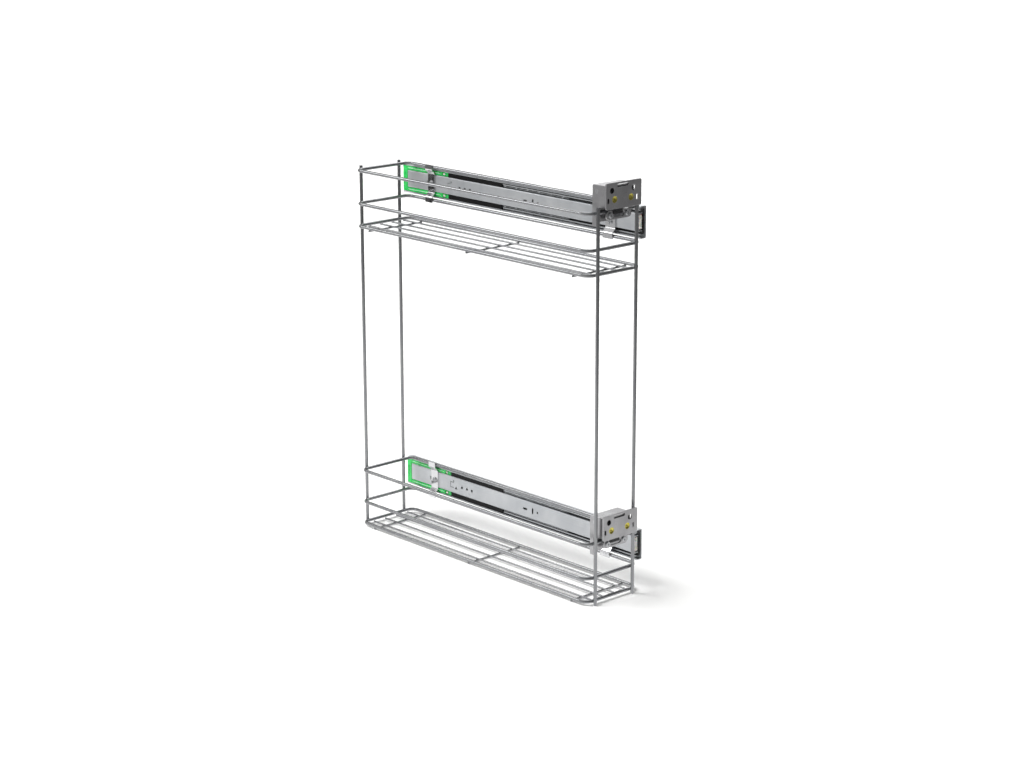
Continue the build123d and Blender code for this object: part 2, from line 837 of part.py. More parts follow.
def adjuster_block(level, z):
    """The cast block that slides sideways on a rod in the box and carries the door plate."""
    low = box_y - block_width / 2
    high = box_y + block_width / 2
    with BuildPart() as block:
        with BuildSketch(across(block_rear, z)):
            band(low, high, block_bottom, block_top)
        extrude(amount=box_front - block_rear)
        chamfer(block.edges().filter_by(Axis.X), length=block_edge)
        with BuildSketch(facing(high, z)):
            with Locations((guide_x, guide_z)):
                Circle(guide_rod / 2 + journal_play)
        extrude(amount=block_width, mode=Mode.SUBTRACT)
        with BuildSketch(across(box_front, z)):
            with Locations((box_y, (block_bottom + block_top) / 2)):
                Rectangle(tongue_sheet + 2 * journal_play, tongue_height + 2 * adjust_travel + 2 * slip)
        extrude(amount=-tongue_slot_depth, mode=Mode.SUBTRACT)
        with BuildSketch(across(box_front, z)):
            with Locations((side_cam_y, cam_z)):
                shank_slot = cam_shank + 2 * journal_play
                SlotOverall(shank_slot + 2 * adjust_travel, shank_slot, rotation=90)
        extrude(amount=block_rear - box_front, mode=Mode.SUBTRACT)
        with BuildSketch(across(box_front, z)):
            with Locations((height_cam_y, cam_z)):
                Rectangle(cam_disc + 2 * slip, cam_disc + 2 * adjust_travel + 2 * slip)
        extrude(amount=-(cam_disc_height + 2 * slip), mode=Mode.SUBTRACT)
        with BuildSketch(across(box_front, z)):
            with Locations((height_cam_y + (pin_low + pin_high) / 2, cam_z)):
                Rectangle(pin_high - pin_low, cam_pin + 2 * cam_pin_play)
        extrude(amount=-pin_slot_depth, mode=Mode.SUBTRACT)
        with BuildSketch(across(box_front, z)):
            with Locations((feature_y, door_hole_z)):
                with GridLocations(door_hole_pitch, 0, 2, 1):
                    Circle(door_hole / 2 + hole_pocket_margin)
        extrude(amount=-hole_pocket_depth, mode=Mode.SUBTRACT)
    save(block, f"{level}_adjuster_block")


def guide_rods():
    """The round rods across the two boxes, on which the blocks slide."""
    with BuildPart() as rods:
        for _, z in levels:
            start = (guide_x, box_y + box_width / 2, z + guide_z)
            with BuildSketch(Plane(origin=start, z_dir=(0, -1, 0))):
                Circle(guide_rod / 2)
            extrude(amount=box_width)
    save(rods, "guide_rods")


def door_plate(level, z):
    """The plate that is screwed to the door, with a tongue that slides up and down in the block."""
    with BuildPart() as plate:
        with BuildSketch(across(plate_back, z)):
            with Locations((plate_y, (plate_bottom + plate_top) / 2)):
                RectangleRounded(plate_width, plate_height, plate_corner)
            with Locations((feature_y, door_hole_z)):
                with GridLocations(door_hole_pitch, 0, 2, 1):
                    Circle(door_hole / 2, mode=Mode.SUBTRACT)
            with Locations((feature_y, plate_top - plate_slot_drop)):
                SlotOverall(plate_slot_length, plate_slot_height, mode=Mode.SUBTRACT)
            with Locations((feature_y, plate_bottom + corner_slot_rise)):
                with GridLocations(corner_slot_spread, 0, 2, 1):
                    RectangleRounded(corner_slot_width, corner_slot_height, corner_slot_radius, mode=Mode.SUBTRACT)
            with Locations((height_cam_y, cam_z), (side_cam_y, cam_z)):
                Circle(cam_shank / 2 + journal_play, mode=Mode.SUBTRACT)
        extrude(amount=plate_sheet)
        with BuildSketch(across(plate_front, z)):
            with Locations((height_cam_y, cam_z), (side_cam_y, cam_z)):
                Circle(cam_head / 2 + journal_play)
        extrude(amount=head_rear - plate_front, mode=Mode.SUBTRACT)
        with BuildSketch(across(plate_back, z)):
            with Locations((box_y, (block_bottom + block_top) / 2)):
                Rectangle(tongue_sheet, tongue_height)
        extrude(amount=-(tongue_slot_depth - box_front_gap))
    save(plate, f"{level}_door_plate")


def cam_screw(name, y, z, steps, throw_y, throw_z):
    """A brass adjusting screw: cupped head, shank, disc and an off-centre pin, each step from one X to the next."""
    disc_front, disc_rear, pin_rear = steps
    with BuildPart() as screw:
        with BuildSketch(Plane(origin=(head_rear, y, z), z_dir=(1, 0, 0))):
            Circle(cam_head / 2)
        extrude(amount=cam_head_height)
        with BuildSketch(Plane(origin=(head_rear, y, z), z_dir=(1, 0, 0))):
            Circle(cam_shank / 2)
        extrude(amount=disc_front - head_rear)
        with BuildSketch(Plane(origin=(disc_front, y, z), z_dir=(1, 0, 0))):
            Circle(cam_disc / 2)
        extrude(amount=disc_rear - disc_front)
        with BuildSketch(Plane(origin=(disc_rear, y + throw_y, z + throw_z), z_dir=(1, 0, 0))):
            Circle(cam_pin / 2)
        extrude(amount=pin_rear - disc_rear)
        with Locations((head_rear + cam_head_height - cam_cup_depth / 2, y, z)):
            Cone(cam_shank / 2, cam_head / 2 - slip, cam_cup_depth, rotation=(0, 90, 0), mode=Mode.SUBTRACT)
        floor_x = head_rear + cam_head_height - cam_cup_depth
        with BuildSketch(Plane(origin=(floor_x, y, z), x_dir=(0, 1, 0), z_dir=(1, 0, 0))):
            Rectangle(cam_shank, cross_slot)
            Rectangle(cross_slot, cam_shank)
        extrude(amount=-cross_slot_depth, mode=Mode.SUBTRACT)
    save(screw, name)


def cam_screws(level, z):
    """Both screws turn in the door plate: one pin moves in the block, the other in the box behind it."""
    height_steps = (box_front, box_front - cam_disc_height, box_front - pin_slot_depth + slip)
    cam_screw(f"{level}_height_screw", height_cam_y, z + cam_z, height_steps, cam_throw, 0)
    disc_front = block_rear - slip
    side_steps = (disc_front, disc_front - cam_disc_height, box_rear + slip)
    cam_screw(f"{level}_side_screw", side_cam_y, z + cam_z, side_steps, 0, cam_throw)


wire_frame()
for level, z in levels:
    cabinet_member(level, z)
    middle_member(level, z)
    drawer_member(level, z)
    outer_back = -(cabinet_sheet + (middle_rise - cage_sheet) / 2)
    inner_back = (middle_back - middle_sheet + drawer_arm_end + cage_sheet) / 2
    ball_cage(
        f"{level}_outer_cage", z, outer_cage_rear, outer_cage_length, outer_back,
        outer_ball_z, outer_ball_depth, outer_ball, outer_cage_balls,
    )
    ball_cage(
        f"{level}_inner_cage", z, inner_cage_rear, inner_cage_length, inner_back,
        inner_ball_z, inner_ball_depth, inner_ball, inner_cage_balls,
    )
    guide_strips(level, z)
    damper_housing(level, z)
    catch(level, z)
    damper(level, z)
    closing_spring(level, z)
    strap(f"{level}_rear_strap", z, rear_strap_x, rear_strap_width, (0,))
    half_spread = front_screw_spread / 2
    strap(f"{level}_front_strap", z, front_strap_x, front_strap_width, (-half_spread, half_spread))
    bracket_box(level, z)
    clamp_plate(level, z)
    adjuster_block(level, z)
    door_plate(level, z)
    cam_screws(level, z)
ball_rows(
    "outer_balls", outer_cage_rear, outer_cage_length, outer_ball_z, outer_ball_depth, outer_ball, outer_cage_balls
)
ball_rows(
    "inner_balls", inner_cage_rear, inner_cage_length, inner_ball_z, inner_ball_depth, inner_ball, inner_cage_balls
)
strap_screws(
    [(rear_strap_x, z) for _, z in levels]
    + [(front_strap_x, z + side * front_screw_spread / 2) for _, z in levels for side in (-1, 1)]
)
clamp_latches()
clamp_screws()
clamp_nuts()
guide_rods()
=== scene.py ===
# Pull-out cargo basket: finishes, welds, small mouldings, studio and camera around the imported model.
import json
import math

import bmesh
import bpy
from mathutils import Matrix, Vector, noise


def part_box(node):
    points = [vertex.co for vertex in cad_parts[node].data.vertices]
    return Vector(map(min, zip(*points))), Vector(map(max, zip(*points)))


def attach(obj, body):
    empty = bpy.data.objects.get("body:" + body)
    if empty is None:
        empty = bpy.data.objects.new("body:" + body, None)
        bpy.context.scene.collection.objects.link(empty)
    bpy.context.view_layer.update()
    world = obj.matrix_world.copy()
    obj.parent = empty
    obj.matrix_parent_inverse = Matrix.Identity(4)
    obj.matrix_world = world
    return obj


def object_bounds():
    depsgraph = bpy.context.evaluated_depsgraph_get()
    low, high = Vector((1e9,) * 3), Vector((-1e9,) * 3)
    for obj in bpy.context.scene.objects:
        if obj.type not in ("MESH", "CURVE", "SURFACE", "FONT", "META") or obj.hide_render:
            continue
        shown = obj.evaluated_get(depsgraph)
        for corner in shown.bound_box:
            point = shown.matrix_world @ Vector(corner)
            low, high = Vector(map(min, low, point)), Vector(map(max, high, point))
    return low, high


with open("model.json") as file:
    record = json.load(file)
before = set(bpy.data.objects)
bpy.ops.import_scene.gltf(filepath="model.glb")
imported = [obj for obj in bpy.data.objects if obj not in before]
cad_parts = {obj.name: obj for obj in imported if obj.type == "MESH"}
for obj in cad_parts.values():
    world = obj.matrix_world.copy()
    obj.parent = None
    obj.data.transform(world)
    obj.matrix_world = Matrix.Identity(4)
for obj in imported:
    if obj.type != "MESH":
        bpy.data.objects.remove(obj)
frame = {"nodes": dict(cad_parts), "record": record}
nodes = frame["nodes"]
cadBox = [list(corner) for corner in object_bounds()]
levels = ("lower", "upper")
mm = 0.001
print("loaded", len(nodes), "nodes")


def linearColour(hexCode):
    # sRGB hex to the linear colour that a shader takes
    parts = [int(hexCode[i:i + 2], 16) / 255 for i in (1, 3, 5)]
    return tuple(c / 12.92 if c <= 0.04045 else ((c + 0.055) / 1.055) ** 2.4 for c in parts) + (1.0,)


def emptyTree(owner):
    # the node tree of a material or a world, cleared
    owner.use_nodes = True
    owner.node_tree.nodes.clear()
    return owner.node_tree


def addNode(tree, kind, settings=None, inputs=None):
    # one node: its settings, then each input as a link or a plain value
    node = tree.nodes.new(kind)
    for name, value in (settings or {}).items():
        setattr(node, name, value)
    for key, value in (inputs or {}).items():
        if isinstance(key, int):
            socket = node.inputs[key]
        else:
            socket = next(s for s in node.inputs if s.enabled and key in (s.identifier, s.name))
        if isinstance(value, bpy.types.NodeSocket):
            tree.links.new(value, socket)
        else:
            socket.default_value = value
    return node


# Every pattern size is in millimetres of the real surface. In the photograph's view one pixel is about 1.5 mm,
# so lines and grain that are finer are drawn as coarse as they need to show.
pattern = {
    "streakDetail": 3.0,
    "cloudDetail": 4.0,
    "grainDetail": 2.0,
    "toneSpan": (0.35, 0.65),  # cloud values at the one tone and at the other
    "roughSpan": (0.3, 0.7),  # streak values at the lowest roughness and at the highest
    "edgeSamples": 4,
    "edgeSpan": (0.99, 0.85),  # cosine between rounded and flat normal where an edge begins and where it is full
    "shadeStreakSpan": (0.35, 0.65),  # streak values where the painted shade is thinned and where it is whole
    # share of the painted shade left where it is thinned
    "thinnedShade": 0.75,
}


def surfaceMaterial(name, look):
    material = bpy.data.materials.new(name)
    tree = emptyTree(material)
    place = addNode(tree, "ShaderNodeTexCoord").outputs["Object"]
    inMm = addNode(tree, "ShaderNodeMapping", {}, {"Vector": place, "Scale": (1 / mm, 1 / mm, 1 / mm)}).outputs[0]

    # streaks from drawing, rolling or turning run along the named axes
    stretch = [1 / look["streakLength" if axis in look["streakAlong"] else "streakWidth"] for axis in "xyz"]
    streakPlace = addNode(tree, "ShaderNodeMapping", {}, {"Vector": inMm, "Scale": stretch}).outputs[0]
    streaks = addNode(tree, "ShaderNodeTexNoise", {}, {
        "Vector": streakPlace, "Scale": 1.0, "Detail": pattern["streakDetail"],
    }).outputs[0]
    clouds = addNode(tree, "ShaderNodeTexNoise", {}, {
        "Vector": inMm, "Scale": 1 / look["cloudSize"], "Detail": pattern["cloudDetail"],
    }).outputs[0]
    grain = addNode(tree, "ShaderNodeTexNoise", {}, {
        "Vector": inMm, "Scale": 1 / look["grainSize"], "Detail": pattern["grainDetail"],
    }).outputs[0]

    # the colour wanders between two tones
    low, high = pattern["toneSpan"]
    mix = addNode(tree, "ShaderNodeMapRange", {}, {"Value": clouds, "From Min": low, "From Max": high}).outputs[0]
    colour = addNode(tree, "ShaderNodeMix", {"data_type": "RGBA"}, {
        "Factor_Float": mix, "A_Color": linearColour(look["tone"]), "B_Color": linearColour(look["otherTone"]),
    }).outputs["Result"]

    normal = None
    if look.get("edgeRadius"):
        # where the rounded normal leaves the flat one there is an edge; its colour is mixed towards an edge tone, a
        # painted highlight with some wear where that tone is lighter and painted shade on the green housing's
        # darker rims
        normal = addNode(tree, "ShaderNodeBevel", {"samples": pattern["edgeSamples"]}, {
            "Radius": look["edgeRadius"] * mm,
        }).outputs[0]
        flat = addNode(tree, "ShaderNodeNewGeometry").outputs["Normal"]
        alike = addNode(tree, "ShaderNodeVectorMath", {"operation": "DOT_PRODUCT"}, {
            0: normal, 1: flat,
        }).outputs["Value"]
        low, high = pattern["edgeSpan"]
        edge = addNode(tree, "ShaderNodeMapRange", {}, {
            "Value": alike, "From Min": low, "From Max": high, "To Min": 0.0, "To Max": look["edgeWearAndLightShare"],
        }).outputs[0]
        # the painted edge highlight and shade is mixed in more where the clouds run high
        edgeWearAndLight = addNode(tree, "ShaderNodeMath", {"operation": "MULTIPLY"}, {0: edge, 1: mix}).outputs[0]
        colour = addNode(tree, "ShaderNodeMix", {"data_type": "RGBA"}, {
            "Factor_Float": edgeWearAndLight, "A_Color": colour, "B_Color": linearColour(look["edgeWearAndLightTone"]),
        }).outputs["Result"]

    if look.get("paintedShadeDepth"):
        # painted shade: what lies deep inside the slide is darkened towards a near-black tone, broken by the
        # streaks
        depth = addNode(tree, "ShaderNodeSeparateXYZ", {}, {"Vector": inMm}).outputs["Y"]
        begins, full = (-mark for mark in look["paintedShadeDepth"])
        paintedShade = addNode(tree, "ShaderNodeMapRange", {}, {
            "Value": depth, "From Min": begins, "From Max": full,
        }).outputs[0]
        low, high = pattern["shadeStreakSpan"]
        shadeStreaks = addNode(tree, "ShaderNodeMapRange", {}, {
            "Value": streaks, "From Min": low, "From Max": high, "To Min": pattern["thinnedShade"],
        }).outputs[0]
        paintedShade = addNode(tree, "ShaderNodeMath", {"operation": "MULTIPLY"}, {0: paintedShade, 1: shadeStreaks}).outputs[0]
        colour = addNode(tree, "ShaderNodeMix", {"data_type": "RGBA"}, {
            "Factor_Float": paintedShade, "A_Color": colour, "B_Color": linearColour(look["paintedShadeTone"]),
        }).outputs["Result"]

    low, high = pattern["roughSpan"]
    smooth, rough = look["roughness"]
    roughness = addNode(tree, "ShaderNodeMapRange", {}, {
        "Value": streaks, "From Min": low, "From Max": high, "To Min": smooth, "To Max": rough,
    }).outputs[0]

    # streaks and grain are also cut or cast into the surface
    for height, depth in ((streaks, look["streakDepth"]), (grain, look["grainDepth"])):
        inputs = {"Height": height, "Distance": depth * mm, "Strength": 1.0}
        if normal is not None:
            inputs["Normal"] = normal
        normal = addNode(tree, "ShaderNodeBump", {}, inputs).outputs[0]

    shader = addNode(tree, "ShaderNodeBsdfPrincipled", {}, {
        "Base Color": colour, "Roughness": roughness, "Normal": normal, **look["shader"],
    })
    addNode(tree, "ShaderNodeOutputMaterial", {}, {"Surface": shader.outputs[0]})
    return material


# Bright chrome on drawn steel wire: mirror-like, with faint die lines along the wire that stretch each highlight.
chromedWire = {
    "tone": "#A0A1A2", "otherTone": "#939497", "cloudSize": 60.0,
    "streakLength": 90.0, "streakWidth": 1.2, "streakDepth": 0.006,
    "grainSize": 9.0, "grainDepth": 0.003, "roughness": (0.12, 0.22),
    "shader": {"Metallic": 1.0},
}
# Bright chrome on bent strip: flat mirrors with a slight orange peel and a painted highlight along the sheared
# edges, so a strap turns black or white as a whole.
chromedStrip = {
    "tone": "#E4E4E5", "otherTone": "#DADADC", "cloudSize": 26.0,
    "streakAlong": "z", "streakLength": 30.0, "streakWidth": 1.6, "streakDepth": 0.004,
    "grainSize": 4.0, "grainDepth": 0.004, "roughness": (0.06, 0.14),
    "edgeRadius": 0.4, "edgeWearAndLightTone": "#F4F4F2", "edgeWearAndLightShare": 0.7,
    "shader": {"Metallic": 1.0},
}
# Satin nickel on stamped and folded steel: soft reflections, with upright brush lines and edges lighter from
# rubbing and from a painted highlight.
satinNickelPressing = {
    "tone": "#BDBDBE", "otherTone": "#ADACAE", "cloudSize": 22.0,
    "streakAlong": "z", "streakLength": 25.0, "streakWidth": 1.4, "streakDepth": 0.008,
    "grainSize": 1.2, "grainDepth": 0.004, "roughness": (0.26, 0.38),
    "edgeRadius": 0.7, "edgeWearAndLightTone": "#F2F2F0", "edgeWearAndLightShare": 0.9,
    "shader": {"Metallic": 1.0},
}
# Clear zinc on cold-rolled strip: satin, with rolling lines along the slide and a dull, slightly blue cast.
zincPlatedStrip = {
    "tone": "#DEE0E2", "otherTone": "#D0D3D6", "cloudSize": 35.0,
    "streakAlong": "x", "streakLength": 120.0, "streakWidth": 1.1, "streakDepth": 0.010,
    "grainSize": 0.9, "grainDepth": 0.004, "roughness": (0.42, 0.54),
    "edgeRadius": 0.3, "edgeWearAndLightTone": "#E6E7E7", "edgeWearAndLightShare": 0.8,
    "shader": {"Metallic": 1.0},
}
# The same strip inside the slide, with painted shade: a near-black tone on the inner faces, so the punched holes in
# front of them look black.
paintedShadeStrip = {
    **zincPlatedStrip,
    "paintedShadeDepth": (8.5, 6.0),  # mm in front of the side panel where it begins and where it is full
    "paintedShadeTone": "#201F1C",
}
# Zinc-plated cold-headed screws: brighter than the strip, with small pits from the header.
zincPlatedScrew = {
    "tone": "#CDCED0", "otherTone": "#B9BBBD", "cloudSize": 3.0,
    "streakAlong": "", "streakLength": 1.0, "streakWidth": 0.8, "streakDepth": 0.010,
    "grainSize": 0.6, "grainDepth": 0.006, "roughness": (0.18, 0.32),
    "edgeRadius": 0.25, "edgeWearAndLightTone": "#E4E4E2", "edgeWearAndLightShare": 0.6,
    "shader": {"Metallic": 1.0},
}
# Ground and polished bearing balls: clean mirrors under a trace of grease.
polishedBall = {
    "tone": "#C7C8CA", "otherTone": "#BDBEC1", "cloudSize": 4.0,
    "streakAlong": "", "streakLength": 1.0, "streakWidth": 1.5, "streakDepth": 0.001,
    "grainSize": 1.0, "grainDepth": 0.001, "roughness": (0.05, 0.10),
    "shader": {"Metallic": 1.0},
}
# Hard-drawn spring wire, oiled: darker than the rest and streaked round each turn.
drawnSpringWire = {
    "tone": "#8F8F91", "otherTone": "#767678", "cloudSize": 6.0,
    "streakAlong": "yz", "streakLength": 6.0, "streakWidth": 0.3, "streakDepth": 0.004,
    "grainSize": 0.4, "grainDepth": 0.002, "roughness": (0.22, 0.38),
    "shader": {"Metallic": 1.0},
}
# Moulded acetal guide strips: near black, smooth, with a soft sheen along the slide.
mouldedAcetal = {
    "tone": "#0B0B0C", "otherTone": "#141415", "cloudSize": 20.0,
    "streakAlong": "x", "streakLength": 60.0, "streakWidth": 1.5, "streakDepth": 0.01,
    "grainSize": 0.5, "grainDepth": 0.006, "roughness": (0.30, 0.42),
    "edgeRadius": 0.3, "edgeWearAndLightTone": "#2A2A2C", "edgeWearAndLightShare": 0.6,
    "shader": {"IOR": 1.48, "Specular IOR Level": 0.2},
}
# Moulded nylon soft-close housing: saturated glossy green, a little translucent, with painted shade on the rims and
# fine spark-eroded grain.
mouldedGreenNylon = {
    "tone": "#30CC60", "otherTone": "#28BC54", "cloudSize": 18.0,
    "streakAlong": "x", "streakLength": 30.0, "streakWidth": 3.0, "streakDepth": 0.004,
    "grainSize": 0.45, "grainDepth": 0.006, "roughness": (0.16, 0.26),
    # painted shade: the rims are darkened towards this tone
    "edgeRadius": 0.6, "edgeWearAndLightTone": "#14752C", "edgeWearAndLightShare": 1.0,
    "shader": {"IOR": 1.53, "Subsurface Weight": 0.15, "Subsurface Scale": 0.001},
}
# Moulded acetal catch, pads and buffers: off-white, waxy, with faint flow marks.
mouldedWhiteAcetal = {
    "tone": "#E4E2DA", "otherTone": "#D9D7CF", "cloudSize": 8.0,
    "streakAlong": "x", "streakLength": 12.0, "streakWidth": 2.0, "streakDepth": 0.004,
    "grainSize": 0.4, "grainDepth": 0.008, "roughness": (0.30, 0.40),
    "edgeRadius": 0.3, "edgeWearAndLightTone": "#F1F0EB", "edgeWearAndLightShare": 0.6,
    "shader": {"IOR": 1.48, "Subsurface Weight": 0.2, "Subsurface Scale": 0.001},
}
# Moulded nylon latches: black and matt, with a fine grain and corners greyed by wear and by a painted highlight.
mouldedBlackNylon = {
    "tone": "#101011", "otherTone": "#1A1A1B", "cloudSize": 6.0,
    "streakAlong": "y", "streakLength": 8.0, "streakWidth": 2.0, "streakDepth": 0.004,
    "grainSize": 0.5, "grainDepth": 0.012, "roughness": (0.40, 0.52),
    "edgeRadius": 0.3, "edgeWearAndLightTone": "#3A3A3C", "edgeWearAndLightShare": 0.7,
    "shader": {"IOR": 1.53},
}
# Moulded nylon in mid grey, for the damper's cylinder: matt, with a fine grain.
mouldedGreyNylon = {
    "tone": "#7C7D7F", "otherTone": "#6E6F72", "cloudSize": 9.0,
    "streakAlong": "x", "streakLength": 12.0, "streakWidth": 2.0, "streakDepth": 0.004,
    "grainSize": 0.4, "grainDepth": 0.012, "roughness": (0.40, 0.52),
    "edgeRadius": 0.3, "edgeWearAndLightTone": "#9A9B9D", "edgeWearAndLightShare": 0.6,
    "shader": {"IOR": 1.53},
}
# Tumbled zinc die casting: dull grey, pebbled, with edges brighter from rubbing and from a painted highlight.
tumbledZincCasting = {
    "tone": "#8E9093", "otherTone": "#7B7D81", "cloudSize": 7.0,
    "streakAlong": "", "streakLength": 1.0, "streakWidth": 2.2, "streakDepth": 0.03,
    "grainSize": 0.7, "grainDepth": 0.03, "roughness": (0.42, 0.58),
    "edgeRadius": 0.5, "edgeWearAndLightTone": "#BFC1C4", "edgeWearAndLightShare": 0.9,
    "shader": {"Metallic": 1.0},
}
# Turned brass adjusting screws: warm yellow, with fine turning marks that pull the highlight across the head.
turnedBrass = {
    "tone": "#DDD272", "otherTone": "#C6BA52", "cloudSize": 4.0,
    "streakAlong": "y", "streakLength": 8.0, "streakWidth": 0.5, "streakDepth": 0.010,
    "grainSize": 0.5, "grainDepth": 0.003, "roughness": (0.16, 0.28),
    "edgeRadius": 0.3, "edgeWearAndLightTone": "#F7F3C0", "edgeWearAndLightShare": 0.9,
    "shader": {"Metallic": 1.0},
}

# drawn wires carry their die lines along their own length
wireRuns = {"post": "z", "ring": "xy", "grid_wires": "x", "cross_wires": "y"}
wireFinishes = {
    run: surfaceMaterial(f"chromedWire_{run}", {**chromedWire, "streakAlong": axes})
    for run, axes in wireRuns.items()
}
slotFinishes = {
    "chrome_bracket": surfaceMaterial("satinNickelPressing", satinNickelPressing),
    "zinc_sheet": surfaceMaterial("zincPlatedStrip", zincPlatedStrip),
    "zinc_screw": surfaceMaterial("zincPlatedScrew", zincPlatedScrew),
    "steel_ball": surfaceMaterial("polishedBall", polishedBall),
    "spring_steel": surfaceMaterial("drawnSpringWire", drawnSpringWire),
    "black_plastic": surfaceMaterial("mouldedAcetal", mouldedAcetal),
    "green_plastic": surfaceMaterial("mouldedGreenNylon", mouldedGreenNylon),
    "white_plastic": surfaceMaterial("mouldedWhiteAcetal", mouldedWhiteAcetal),
    "grey_plastic": surfaceMaterial("mouldedGreyNylon", mouldedGreyNylon),
    "zinc_casting": surfaceMaterial("tumbledZincCasting", tumbledZincCasting),
    "brass_screw": surfaceMaterial("turnedBrass", turnedBrass),
}
# these differ from the rest of their slot
nodeFinishes = {
    "_strap": surfaceMaterial("chromedStrip", chromedStrip),
    # painted shade on the inner members of the slide
    "middle_member": surfaceMaterial("paintedShadeStrip", paintedShadeStrip),
    "latches": surfaceMaterial("mouldedBlackNylon", mouldedBlackNylon),
}
nodeFinishes["cage"] = nodeFinishes["middle_member"]


def finishOf(name, slotName):
    for ending, finish in nodeFinishes.items():
        if ending in name:
            return finish
    if slotName == "chrome_wire":
        return next(wireFinishes[run] for run in wireRuns if run in name)
    return slotFinishes[slotName]


for part in frame["record"]["subparts"]:
    for slot in nodes[part["node"]].material_slots:
        slot.material = finishOf(part["node"], part["material_slot"])


def middle(node):
    low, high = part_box(node)
    return (low + high) / 2


def spread(low, high, count):
    # evenly spaced places, both ends included
    return [low + (high - low) * i / (count - 1) for i in range(count)]


def addPiece(name, mesh, material, body):
    bmesh.ops.recalc_face_normals(mesh, faces=mesh.faces)
    data = bpy.data.meshes.new(name)
    mesh.to_mesh(data)
    mesh.free()
    for face in data.polygons:
        face.use_smooth = True
    piece = bpy.data.objects.new(name, data)
    bpy.context.scene.collection.objects.link(piece)
    piece.data.materials.append(material)
    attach(piece, body)


# Resistance welds: a small flash of metal in the valley where two pieces meet, with its half sizes along x, y and z
# in mm.
weldFlash = {
    "postOnRing": (1.0, 2.2, 2.2),
    "strapOnRing": (3.2, 0.7, 1.7),
    "crossOnRing": (1.6, 1.6, 0.8),
    "crossOnGrid": (1.4, 1.4, 0.7),
    "strapWeldShare": 0.26,  # of the strap's width, to both sides of its middle
    "crossWires": 3,
    "gridWires": 4,
    "ripple": 0.16,  # share of the size
    "rippleSize": 1.1,  # mm
    "subdivisions": 3,
}


def addFlash(mesh, kind, place):
    # a crushed drop of metal, uneven like real flash
    centre = Vector(place)
    made = bmesh.ops.create_icosphere(mesh, subdivisions=weldFlash["subdivisions"], radius=1.0)["verts"]
    for vert in made:
        offset = Vector([share * half * mm for share, half in zip(vert.co, weldFlash[kind])])
        swell = noise.noise((centre + offset) / (weldFlash["rippleSize"] * mm))
        vert.co = centre + offset * (1 + weldFlash["ripple"] * swell)


def weldFlashes():
    mesh = bmesh.new()
    posts = [name for name in nodes if "post" in name]
    for level in levels:
        for ring in ("base_ring", "middle_ring", "top_ring"):
            low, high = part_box(f"{level}_{ring}")
            for post in posts:
                ringEnd = high.x if middle(post).x > 0 else low.x
                addFlash(mesh, "postOnRing", (ringEnd, middle(post).y, (low.z + high.z) / 2))
        for ring in ("middle_ring", "top_ring"):
            low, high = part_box(f"{level}_{ring}")
            for strap in ("rear_strap", "front_strap"):
                strapLow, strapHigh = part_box(f"{level}_{strap}")
                reach = (strapHigh.x - strapLow.x) * weldFlash["strapWeldShare"]
                for way in (-1, 1):
                    x = middle(f"{level}_{strap}").x + way * reach
                    addFlash(mesh, "strapOnRing", (x, high.y, (low.z + high.z) / 2))
        crossLow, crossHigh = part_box(f"{level}_cross_wires")
        gridLow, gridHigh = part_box(f"{level}_grid_wires")
        ringLow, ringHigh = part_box(f"{level}_base_ring")
        thinRadius = (crossHigh.z - crossLow.z) / 2
        thickRadius = (ringHigh.z - ringLow.z) / 2
        for x in spread(crossLow.x + thinRadius, crossHigh.x - thinRadius, weldFlash["crossWires"]):
            for y in (ringLow.y + thickRadius, ringHigh.y - thickRadius):
                addFlash(mesh, "crossOnRing", (x, y, crossHigh.z))
            for y in spread(gridLow.y + thinRadius, gridHigh.y - thinRadius, weldFlash["gridWires"]):
                addFlash(mesh, "crossOnGrid", (x, y, crossHigh.z))
    addPiece("weldFlashes", mesh, wireFinishes["ring"], "basket_frame")


weldFlashes()
print("welded the wires")


# Small mouldings, in mm: a bead along each arm of the green housing, pale with a painted highlight, a white pad at
# each arm's nose as a painted highlight on its step, and a buffer that closes the drawer member's front end.
mouldings = {
    "armMiddle": 16.3,  # above and below the slide's middle
    "beadRadius": 0.75,
    "beadAhead": 11.4,  # in front of the side panel
    "beadEnds": (8.0, 15.0),  # in from the rear end and the front end of the housing
    "beadTaper": 2.0,
    "beadTip": 0.05,  # share of the radius that is left at the very end
    "beadSides": 10,
    "beadSteps": 12,
    "highlightPadSize": (4.0, 0.9, 3.0),
    "highlightPadPlace": (9.0, 10.9),  # behind the nose's tip, in front of the side panel
    "bufferSize": (5.0, 6.0, 20.0),
    "bufferPlace": (3.2, 7.9),  # behind the drawer member's front end, in front of the side panel
    "ribSize": (1.6, 5.0, 1.6),  # half of the first stands out of the buffer
    "ribShare": 0.25,  # of the buffer's height, above and below its middle
    "bevel": 0.4,
    "bevelSteps": 3,
}
# The same nylon with a painted highlight: whitened along the beads, without the painted shade on the rims.
paintedHighlightGreenNylon = {
    **mouldedGreenNylon, "tone": "#B9F2C8", "otherTone": "#8FE6A6", "cloudSize": 6.0, "edgeRadius": 0,
}


def softBox(mesh, centre, size):
    made = bmesh.ops.create_cube(mesh, size=1.0)["verts"]
    bmesh.ops.scale(mesh, verts=made, vec=[side * mm for side in size])
    bmesh.ops.translate(mesh, verts=made, vec=centre)
    edges = list({edge for vert in made for edge in vert.link_edges})
    bmesh.ops.bevel(
        mesh, geom=edges, offset=mouldings["bevel"] * mm, segments=mouldings["bevelSteps"], profile=0.5,
        affect="EDGES",
    )


